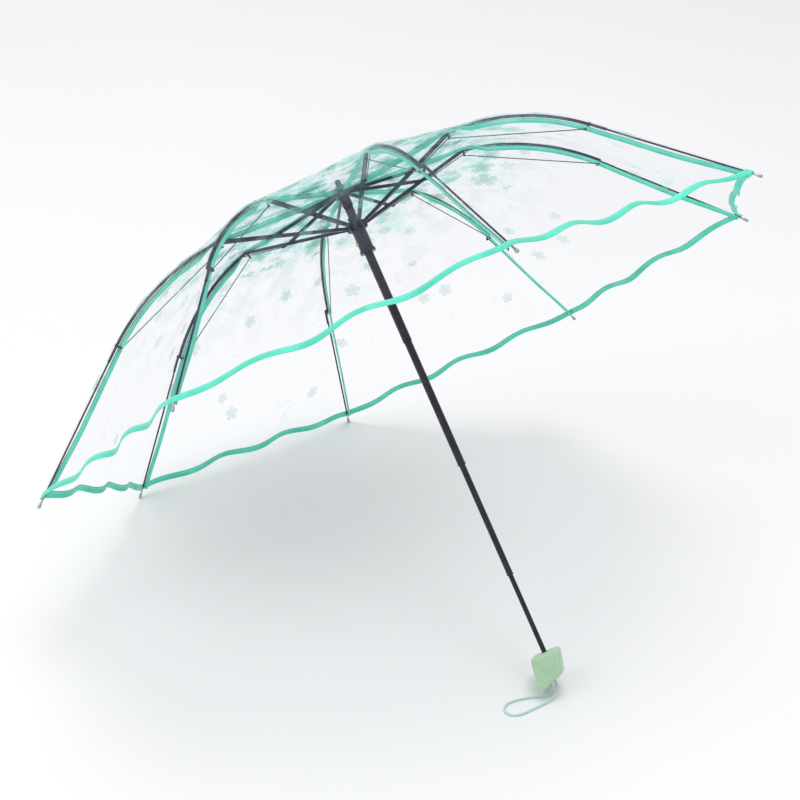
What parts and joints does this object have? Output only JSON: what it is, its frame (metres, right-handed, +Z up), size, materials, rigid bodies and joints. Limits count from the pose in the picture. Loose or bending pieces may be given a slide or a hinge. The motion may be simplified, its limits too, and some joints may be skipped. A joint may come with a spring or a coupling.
{
  "type": "folding umbrella",
  "caption": "Open compact folding umbrella with a clear film canopy, jointed ribs, a telescoping shaft, a sliding runner and a block handle with a wrist cord.",
  "frame": {"origin": "centre of the bounding box on the ground that the umbrella stands on, measured without the wrist cord", "axes": "+X along the line between the two lowest rib tips, the longest side; +Y from the handle towards those two tips; +Z up"},
  "size_m": [0.8932, 0.6308, 0.6384],
  "materials": {
    "shaft_steel": "satin",
    "rib_steel": "satin",
    "wire_steel": "bright",
    "dark_plastic": "semi-gloss",
    "handle_plastic": "soft satin",
    "clear_film": "clear with a printed floral pattern",
    "mint_binding": "woven edge tape",
    "cord": "braided"
  },
  "bodies": {
    "root": {"upper_tube": "shaft_steel", "top_notch": "dark_plastic", "crown_cap": "dark_plastic", "canopy": "clear_film"},
    "second_tube": {"second_tube": "shaft_steel"},
    "third_tube": {"third_tube": "shaft_steel"},
    "lower_tube": {"lower_tube": "shaft_steel", "handle": "handle_plastic", "handle_plug": "dark_plastic", "wrist_cord": "cord"},
    "runner": {"runner": "dark_plastic"},
    "release_button": {"release_button": "handle_plastic"},
    "top_rib_1": {"top_rib_1": "rib_steel"},
    "top_rib_2": {"top_rib_2": "rib_steel"},
    "top_rib_3": {"top_rib_3": "rib_steel"},
    "top_rib_4": {"top_rib_4": "rib_steel"},
    "top_rib_5": {"top_rib_5": "rib_steel"},
    "top_rib_6": {"top_rib_6": "rib_steel"},
    "top_rib_7": {"top_rib_7": "rib_steel"},
    "top_rib_8": {"top_rib_8": "rib_steel"},
    "stretcher_1": {"stretcher_1": "rib_steel"},
    "stretcher_2": {"stretcher_2": "rib_steel"},
    "stretcher_3": {"stretcher_3": "rib_steel"},
    "stretcher_4": {"stretcher_4": "rib_steel"},
    "stretcher_5": {"stretcher_5": "rib_steel"},
    "stretcher_6": {"stretcher_6": "rib_steel"},
    "stretcher_7": {"stretcher_7": "rib_steel"},
    "stretcher_8": {"stretcher_8": "rib_steel"},
    "control_link_1": {"control_link_1": "wire_steel"},
    "control_link_2": {"control_link_2": "wire_steel"},
    "control_link_3": {"control_link_3": "wire_steel"},
    "control_link_4": {"control_link_4": "wire_steel"},
    "control_link_5": {"control_link_5": "wire_steel"},
    "control_link_6": {"control_link_6": "wire_steel"},
    "control_link_7": {"control_link_7": "wire_steel"},
    "control_link_8": {"control_link_8": "wire_steel"},
    "mid_rib_1": {"mid_rib_1": "rib_steel"},
    "mid_rib_2": {"mid_rib_2": "rib_steel"},
    "mid_rib_3": {"mid_rib_3": "rib_steel"},
    "mid_rib_4": {"mid_rib_4": "rib_steel"},
    "mid_rib_5": {"mid_rib_5": "rib_steel"},
    "mid_rib_6": {"mid_rib_6": "rib_steel"},
    "mid_rib_7": {"mid_rib_7": "rib_steel"},
    "mid_rib_8": {"mid_rib_8": "rib_steel"},
    "wire_link_1": {"wire_link_1": "wire_steel"},
    "wire_link_2": {"wire_link_2": "wire_steel"},
    "wire_link_3": {"wire_link_3": "wire_steel"},
    "wire_link_4": {"wire_link_4": "wire_steel"},
    "wire_link_5": {"wire_link_5": "wire_steel"},
    "wire_link_6": {"wire_link_6": "wire_steel"},
    "wire_link_7": {"wire_link_7": "wire_steel"},
    "wire_link_8": {"wire_link_8": "wire_steel"},
    "outer_rib_1": {"outer_rib_1": "rib_steel"},
    "outer_rib_2": {"outer_rib_2": "rib_steel"},
    "outer_rib_3": {"outer_rib_3": "rib_steel"},
    "outer_rib_4": {"outer_rib_4": "rib_steel"},
    "outer_rib_5": {"outer_rib_5": "rib_steel"},
    "outer_rib_6": {"outer_rib_6": "rib_steel"},
    "outer_rib_7": {"outer_rib_7": "rib_steel"},
    "outer_rib_8": {"outer_rib_8": "rib_steel"}
  },
  "joints": [
    {"name": "runner_slide", "type": "slide", "parent": "root", "child": "runner", "axis": [0, 0.7133, 0.7009], "range_m": [-0.1415, 0], "deforming": ["canopy"]},
    {"name": "second_tube_slide", "type": "slide", "parent": "root", "child": "second_tube", "axis": [0, -0.7133, -0.7009], "range_m": [-0.158, 0]},
    {"name": "third_tube_slide", "type": "slide", "parent": "second_tube", "child": "third_tube", "axis": [0, -0.7133, -0.7009], "range_m": [-0.138, 0]},
    {"name": "lower_tube_slide", "type": "slide", "parent": "third_tube", "child": "lower_tube", "axis": [0, -0.7133, -0.7009], "range_m": [-0.088, 0]},
    {"name": "button_press", "type": "slide", "parent": "runner", "child": "release_button", "axis": [-0.9239, 0.2682, -0.273], "range_m": [-0.0014, 0], "stiffness_N_per_m": 300, "springref_m": 0.001},
    {"name": "top_rib_1_fold", "type": "hinge", "parent": "root", "child": "top_rib_1", "pos_m": [-0.00831, 0.15586, 0.46885], "axis": [0.3827, 0.6475, -0.659], "range_deg": [-73.78, 0]},
    {"name": "top_rib_2_fold", "type": "hinge", "parent": "root", "child": "top_rib_2", "pos_m": [-0.00831, 0.15103, 0.47376], "axis": [-0.3827, 0.6475, -0.659], "range_deg": [-73.78, 0]},
    {"name": "top_rib_3_fold", "type": "hinge", "parent": "root", "child": "top_rib_3", "pos_m": [-0.00344, 0.14762, 0.47723], "axis": [-0.9239, 0.2682, -0.273], "range_deg": [-73.78, 0]},
    {"name": "top_rib_4_fold", "type": "hinge", "parent": "root", "child": "top_rib_4", "pos_m": [0.00344, 0.14762, 0.47723], "axis": [-0.9239, -0.2682, 0.273], "range_deg": [-73.78, 0]},
    {"name": "top_rib_5_fold", "type": "hinge", "parent": "root", "child": "top_rib_5", "pos_m": [0.00831, 0.15103, 0.47376], "axis": [-0.3827, -0.6475, 0.659], "range_deg": [-73.78, 0]},
    {"name": "top_rib_6_fold", "type": "hinge", "parent": "root", "child": "top_rib_6", "pos_m": [0.00831, 0.15586, 0.46885], "axis": [0.3827, -0.6475, 0.659], "range_deg": [-73.78, 0]},
    {"name": "top_rib_7_fold", "type": "hinge", "parent": "root", "child": "top_rib_7", "pos_m": [0.00344, 0.15927, 0.46537], "axis": [0.9239, -0.2682, 0.273], "range_deg": [-73.78, 0]},
    {"name": "top_rib_8_fold", "type": "hinge", "parent": "root", "child": "top_rib_8", "pos_m": [-0.00344, 0.15927, 0.46537], "axis": [0.9239, 0.2682, -0.273], "range_deg": [-73.78, 0]},
    {"name": "stretcher_1_fold", "type": "hinge", "parent": "runner", "child": "stretcher_1", "pos_m": [-0.00924, 0.12474, 0.43773], "axis": [0.3827, 0.6475, -0.659], "range_deg": [0, 71.56]},
    {"name": "stretcher_2_fold", "type": "hinge", "parent": "runner", "child": "stretcher_2", "pos_m": [-0.00924, 0.11938, 0.44319], "axis": [-0.3827, 0.6475, -0.659], "range_deg": [0, 71.56]},
    {"name": "stretcher_3_fold", "type": "hinge", "parent": "runner", "child": "stretcher_3", "pos_m": [-0.00383, 0.11559, 0.44705], "axis": [-0.9239, 0.2682, -0.273], "range_deg": [0, 71.56]},
    {"name": "stretcher_4_fold", "type": "hinge", "parent": "runner", "child": "stretcher_4", "pos_m": [0.00383, 0.11559, 0.44705], "axis": [-0.9239, -0.2682, 0.273], "range_deg": [0, 71.56]},
    {"name": "stretcher_5_fold", "type": "hinge", "parent": "runner", "child": "stretcher_5", "pos_m": [0.00924, 0.11938, 0.44319], "axis": [-0.3827, -0.6475, 0.659], "range_deg": [0, 71.56]},
    {"name": "stretcher_6_fold", "type": "hinge", "parent": "runner", "child": "stretcher_6", "pos_m": [0.00924, 0.12474, 0.43773], "axis": [0.3827, -0.6475, 0.659], "range_deg": [0, 71.56]},
    {"name": "stretcher_7_fold", "type": "hinge", "parent": "runner", "child": "stretcher_7", "pos_m": [0.00383, 0.12854, 0.43388], "axis": [0.9239, -0.2682, 0.273], "range_deg": [0, 71.56]},
    {"name": "stretcher_8_fold", "type": "hinge", "parent": "runner", "child": "stretcher_8", "pos_m": [-0.00383, 0.12854, 0.43388], "axis": [0.9239, 0.2682, -0.273], "range_deg": [0, 71.56]},
    {"name": "control_link_1_fold", "type": "hinge", "parent": "top_rib_1", "child": "control_link_1", "pos_m": [-0.10142, 0.16852, 0.42722], "axis": [0.3827, 0.6475, -0.659], "range_deg": [0, 145.45]},
    {"name": "control_link_2_fold", "type": "hinge", "parent": "top_rib_2", "child": "control_link_2", "pos_m": [-0.10142, 0.10963, 0.48715], "axis": [-0.3827, 0.6475, -0.659], "range_deg": [0, 145.45]},
    {"name": "control_link_3_fold", "type": "hinge", "parent": "top_rib_3", "child": "control_link_3", "pos_m": [-0.04201, 0.06799, 0.52952], "axis": [-0.9239, 0.2682, -0.273], "range_deg": [0, 145.45]},
    {"name": "control_link_4_fold", "type": "hinge", "parent": "top_rib_4", "child": "control_link_4", "pos_m": [0.04201, 0.06799, 0.52952], "axis": [-0.9239, -0.2682, 0.273], "range_deg": [0, 145.45]},
    {"name": "control_link_5_fold", "type": "hinge", "parent": "top_rib_5", "child": "control_link_5", "pos_m": [0.10142, 0.10963, 0.48715], "axis": [-0.3827, -0.6475, 0.659], "range_deg": [0, 145.45]},
    {"name": "control_link_6_fold", "type": "hinge", "parent": "top_rib_6", "child": "control_link_6", "pos_m": [0.10142, 0.16852, 0.42722], "axis": [0.3827, -0.6475, 0.659], "range_deg": [0, 145.45]},
    {"name": "control_link_7_fold", "type": "hinge", "parent": "top_rib_7", "child": "control_link_7", "pos_m": [0.04201, 0.21016, 0.38484], "axis": [0.9239, -0.2682, 0.273], "range_deg": [0, 145.45]},
    {"name": "control_link_8_fold", "type": "hinge", "parent": "top_rib_8", "child": "control_link_8", "pos_m": [-0.04201, 0.21016, 0.38484], "axis": [0.9239, 0.2682, -0.273], "range_deg": [0, 145.45]},
    {"name": "mid_rib_1_fold", "type": "hinge", "parent": "stretcher_1", "child": "mid_rib_1", "pos_m": [-0.1529, 0.19641, 0.42473], "axis": [0.3827, 0.6475, -0.659], "range_deg": [-132.98, 0]},
    {"name": "mid_rib_2_fold", "type": "hinge", "parent": "stretcher_2", "child": "mid_rib_2", "pos_m": [-0.1529, 0.10763, 0.51508], "axis": [-0.3827, 0.6475, -0.659], "range_deg": [-132.98, 0]},
    {"name": "mid_rib_3_fold", "type": "hinge", "parent": "stretcher_3", "child": "mid_rib_3", "pos_m": [-0.06333, 0.04485, 0.57896], "axis": [-0.9239, 0.2682, -0.273], "range_deg": [-132.98, 0]},
    {"name": "mid_rib_4_fold", "type": "hinge", "parent": "stretcher_4", "child": "mid_rib_4", "pos_m": [0.06334, 0.04485, 0.57896], "axis": [-0.9239, -0.2682, 0.273], "range_deg": [-132.98, 0]},
    {"name": "mid_rib_5_fold", "type": "hinge", "parent": "stretcher_5", "child": "mid_rib_5", "pos_m": [0.1529, 0.10763, 0.51508], "axis": [-0.3827, -0.6475, 0.659], "range_deg": [-132.98, 0]},
    {"name": "mid_rib_6_fold", "type": "hinge", "parent": "stretcher_6", "child": "mid_rib_6", "pos_m": [0.1529, 0.19641, 0.42473], "axis": [0.3827, -0.6475, 0.659], "range_deg": [-132.98, 0]},
    {"name": "mid_rib_7_fold", "type": "hinge", "parent": "stretcher_7", "child": "mid_rib_7", "pos_m": [0.06333, 0.25919, 0.36084], "axis": [0.9239, -0.2682, 0.273], "range_deg": [-132.98, 0]},
    {"name": "mid_rib_8_fold", "type": "hinge", "parent": "stretcher_8", "child": "mid_rib_8", "pos_m": [-0.06334, 0.25919, 0.36084], "axis": [0.9239, 0.2682, -0.273], "range_deg": [-132.98, 0]},
    {"name": "wire_link_1_fold", "type": "hinge", "parent": "stretcher_1", "child": "wire_link_1", "pos_m": [-0.15105, 0.19088, 0.42037], "axis": [0.3827, 0.6475, -0.659], "range_deg": [-133.45, 0]},
    {"name": "wire_link_2_fold", "type": "hinge", "parent": "stretcher_2", "child": "wire_link_2", "pos_m": [-0.15105, 0.10317, 0.50962], "axis": [-0.3827, 0.6475, -0.659], "range_deg": [-133.45, 0]},
    {"name": "wire_link_3_fold", "type": "hinge", "parent": "stretcher_3", "child": "wire_link_3", "pos_m": [-0.06257, 0.04115, 0.57274], "axis": [-0.9239, 0.2682, -0.273], "range_deg": [-133.45, 0]},
    {"name": "wire_link_4_fold", "type": "hinge", "parent": "stretcher_4", "child": "wire_link_4", "pos_m": [0.06257, 0.04116, 0.57274], "axis": [-0.9239, -0.2682, 0.273], "range_deg": [-133.45, 0]},
    {"name": "wire_link_5_fold", "type": "hinge", "parent": "stretcher_5", "child": "wire_link_5", "pos_m": [0.15105, 0.10317, 0.50962], "axis": [-0.3827, -0.6475, 0.659], "range_deg": [-133.45, 0]},
    {"name": "wire_link_6_fold", "type": "hinge", "parent": "stretcher_6", "child": "wire_link_6", "pos_m": [0.15105, 0.19088, 0.42037], "axis": [0.3827, -0.6475, 0.659], "range_deg": [-133.45, 0]},
    {"name": "wire_link_7_fold", "type": "hinge", "parent": "stretcher_7", "child": "wire_link_7", "pos_m": [0.06257, 0.2529, 0.35725], "axis": [0.9239, -0.2682, 0.273], "range_deg": [-133.45, 0]},
    {"name": "wire_link_8_fold", "type": "hinge", "parent": "stretcher_8", "child": "wire_link_8", "pos_m": [-0.06257, 0.2529, 0.35725], "axis": [0.9239, 0.2682, -0.273], "range_deg": [-133.45, 0]},
    {"name": "outer_rib_1_fold", "type": "hinge", "parent": "mid_rib_1", "child": "outer_rib_1", "pos_m": [-0.30239, 0.18702, 0.3287], "axis": [0.3827, 0.6475, -0.659], "range_deg": [0, 187.39]},
    {"name": "outer_rib_2_fold", "type": "hinge", "parent": "mid_rib_2", "child": "outer_rib_2", "pos_m": [-0.30239, 0.01145, 0.50738], "axis": [-0.3827, 0.6475, -0.659], "range_deg": [0, 187.39]},
    {"name": "outer_rib_3_fold", "type": "hinge", "parent": "mid_rib_3", "child": "outer_rib_3", "pos_m": [-0.12525, -0.1127, 0.63372], "axis": [-0.9239, 0.2682, -0.273], "range_deg": [0, 187.39]},
    {"name": "outer_rib_4_fold", "type": "hinge", "parent": "mid_rib_4", "child": "outer_rib_4", "pos_m": [0.12525, -0.1127, 0.63372], "axis": [-0.9239, -0.2682, 0.273], "range_deg": [0, 187.39]},
    {"name": "outer_rib_5_fold", "type": "hinge", "parent": "mid_rib_5", "child": "outer_rib_5", "pos_m": [0.30239, 0.01145, 0.50738], "axis": [-0.3827, -0.6475, 0.659], "range_deg": [0, 187.39]},
    {"name": "outer_rib_6_fold", "type": "hinge", "parent": "mid_rib_6", "child": "outer_rib_6", "pos_m": [0.30239, 0.18702, 0.3287], "axis": [0.3827, -0.6475, 0.659], "range_deg": [0, 187.39]},
    {"name": "outer_rib_7_fold", "type": "hinge", "parent": "mid_rib_7", "child": "outer_rib_7", "pos_m": [0.12525, 0.31117, 0.20235], "axis": [0.9239, -0.2682, 0.273], "range_deg": [0, 187.39]},
    {"name": "outer_rib_8_fold", "type": "hinge", "parent": "mid_rib_8", "child": "outer_rib_8", "pos_m": [-0.12525, 0.31117, 0.20235], "axis": [0.9239, 0.2682, -0.273], "range_deg": [0, 187.39]}
  ],
  "couplings": [
    {"joint": "top_rib_1_fold", "follows": "runner_slide", "rad_per_m": 9.0938},
    {"joint": "top_rib_2_fold", "follows": "runner_slide", "rad_per_m": 9.0938},
    {"joint": "top_rib_3_fold", "follows": "runner_slide", "rad_per_m": 9.0938},
    {"joint": "top_rib_4_fold", "follows": "runner_slide", "rad_per_m": 9.0938},
    {"joint": "top_rib_5_fold", "follows": "runner_slide", "rad_per_m": 9.0938},
    {"joint": "top_rib_6_fold", "follows": "runner_slide", "rad_per_m": 9.0938},
    {"joint": "top_rib_7_fold", "follows": "runner_slide", "rad_per_m": 9.0938},
    {"joint": "top_rib_8_fold", "follows": "runner_slide", "rad_per_m": 9.0938},
    {"joint": "stretcher_1_fold", "follows": "runner_slide", "rad_per_m": -8.82},
    {"joint": "stretcher_2_fold", "follows": "runner_slide", "rad_per_m": -8.82},
    {"joint": "stretcher_3_fold", "follows": "runner_slide", "rad_per_m": -8.82},
    {"joint": "stretcher_4_fold", "follows": "runner_slide", "rad_per_m": -8.82},
    {"joint": "stretcher_5_fold", "follows": "runner_slide", "rad_per_m": -8.82},
    {"joint": "stretcher_6_fold", "follows": "runner_slide", "rad_per_m": -8.82},
    {"joint": "stretcher_7_fold", "follows": "runner_slide", "rad_per_m": -8.82},
    {"joint": "stretcher_8_fold", "follows": "runner_slide", "rad_per_m": -8.82},
    {"joint": "control_link_1_fold", "follows": "runner_slide", "rad_per_m": -17.934},
    {"joint": "control_link_2_fold", "follows": "runner_slide", "rad_per_m": -17.934},
    {"joint": "control_link_3_fold", "follows": "runner_slide", "rad_per_m": -17.934},
    {"joint": "control_link_4_fold", "follows": "runner_slide", "rad_per_m": -17.934},
    {"joint": "control_link_5_fold", "follows": "runner_slide", "rad_per_m": -17.934},
    {"joint": "control_link_6_fold", "follows": "runner_slide", "rad_per_m": -17.934},
    {"joint": "control_link_7_fold", "follows": "runner_slide", "rad_per_m": -17.934},
    {"joint": "control_link_8_fold", "follows": "runner_slide", "rad_per_m": -17.934},
    {"joint": "mid_rib_1_fold", "follows": "runner_slide", "rad_per_m": 16.396},
    {"joint": "mid_rib_2_fold", "follows": "runner_slide", "rad_per_m": 16.396},
    {"joint": "mid_rib_3_fold", "follows": "runner_slide", "rad_per_m": 16.396},
    {"joint": "mid_rib_4_fold", "follows": "runner_slide", "rad_per_m": 16.396},
    {"joint": "mid_rib_5_fold", "follows": "runner_slide", "rad_per_m": 16.396},
    {"joint": "mid_rib_6_fold", "follows": "runner_slide", "rad_per_m": 16.396},
    {"joint": "mid_rib_7_fold", "follows": "runner_slide", "rad_per_m": 16.396},
    {"joint": "mid_rib_8_fold", "follows": "runner_slide", "rad_per_m": 16.396},
    {"joint": "wire_link_1_fold", "follows": "runner_slide", "rad_per_m": 16.454},
    {"joint": "wire_link_2_fold", "follows": "runner_slide", "rad_per_m": 16.454},
    {"joint": "wire_link_3_fold", "follows": "runner_slide", "rad_per_m": 16.454},
    {"joint": "wire_link_4_fold", "follows": "runner_slide", "rad_per_m": 16.454},
    {"joint": "wire_link_5_fold", "follows": "runner_slide", "rad_per_m": 16.454},
    {"joint": "wire_link_6_fold", "follows": "runner_slide", "rad_per_m": 16.454},
    {"joint": "wire_link_7_fold", "follows": "runner_slide", "rad_per_m": 16.454},
    {"joint": "wire_link_8_fold", "follows": "runner_slide", "rad_per_m": 16.454},
    {"joint": "outer_rib_1_fold", "follows": "runner_slide", "rad_per_m": -23.108},
    {"joint": "outer_rib_2_fold", "follows": "runner_slide", "rad_per_m": -23.108},
    {"joint": "outer_rib_3_fold", "follows": "runner_slide", "rad_per_m": -23.108},
    {"joint": "outer_rib_4_fold", "follows": "runner_slide", "rad_per_m": -23.108},
    {"joint": "outer_rib_5_fold", "follows": "runner_slide", "rad_per_m": -23.108},
    {"joint": "outer_rib_6_fold", "follows": "runner_slide", "rad_per_m": -23.108},
    {"joint": "outer_rib_7_fold", "follows": "runner_slide", "rad_per_m": -23.108},
    {"joint": "outer_rib_8_fold", "follows": "runner_slide", "rad_per_m": -23.108}
  ]
}
